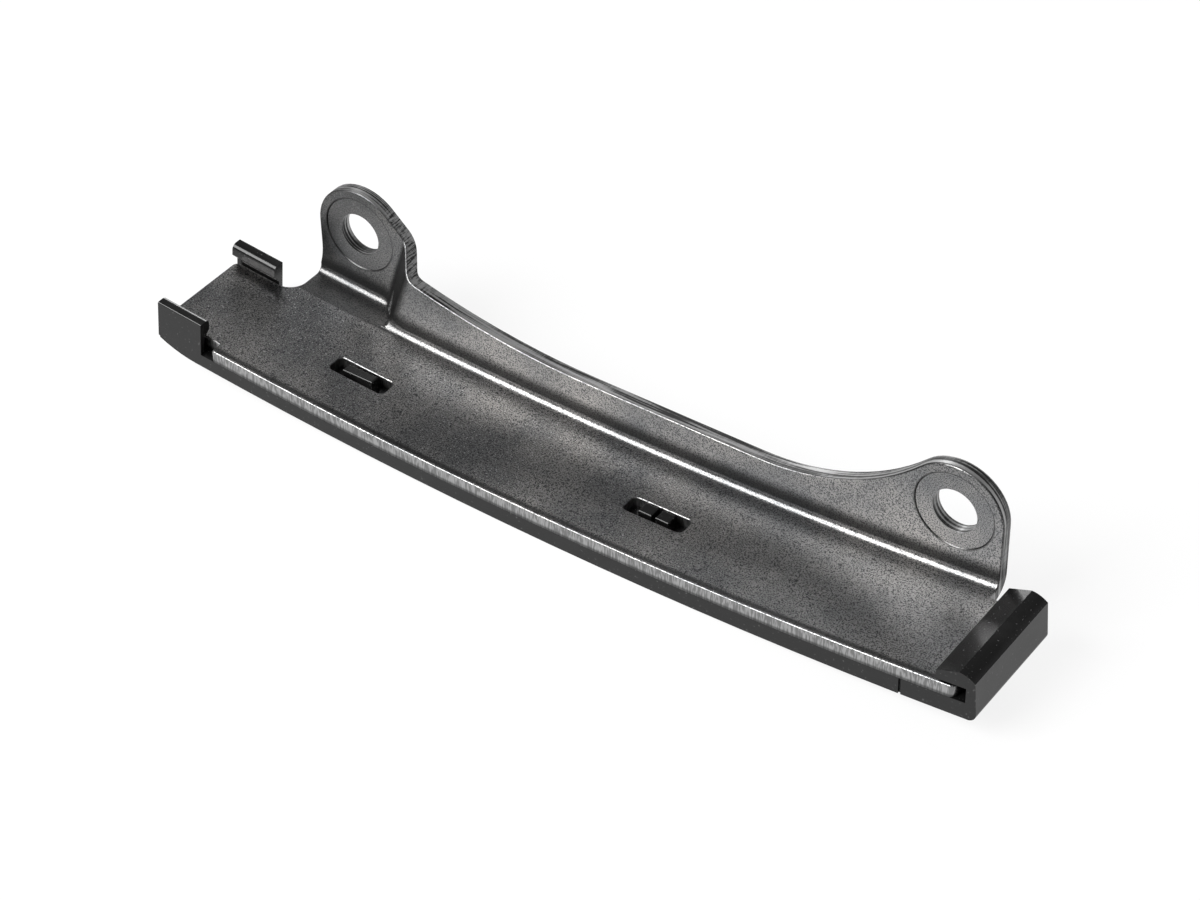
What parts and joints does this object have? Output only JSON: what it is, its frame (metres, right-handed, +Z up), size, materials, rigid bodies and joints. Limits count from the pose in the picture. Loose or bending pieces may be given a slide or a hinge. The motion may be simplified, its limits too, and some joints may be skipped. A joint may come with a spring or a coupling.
{
  "type": "timing chain guide",
  "caption": "Curved timing chain guide: a stamped steel bracket with a bolt ear at each end and a black plastic sliding shoe clipped under it.",
  "frame": {"origin": "centre of the right bolt hole on its bolt seat, the front face of the wall", "axes": "+X from the left bolt hole to the right one, along the length; +Y from the front edge to the wall's rear; +Z up, away from the face that the chain runs on"},
  "size_m": [0.1407, 0.0266, 0.0248],
  "materials": {
    "steel_sheet": "bare phosphated sheet steel, fine grey speckle, satin",
    "black_shoe": "moulded black plastic, semi-gloss"
  },
  "bodies": {
    "root": {"mounting_bracket": "steel_sheet", "sliding_shoe": "black_shoe"}
  },
  "joints": []
}
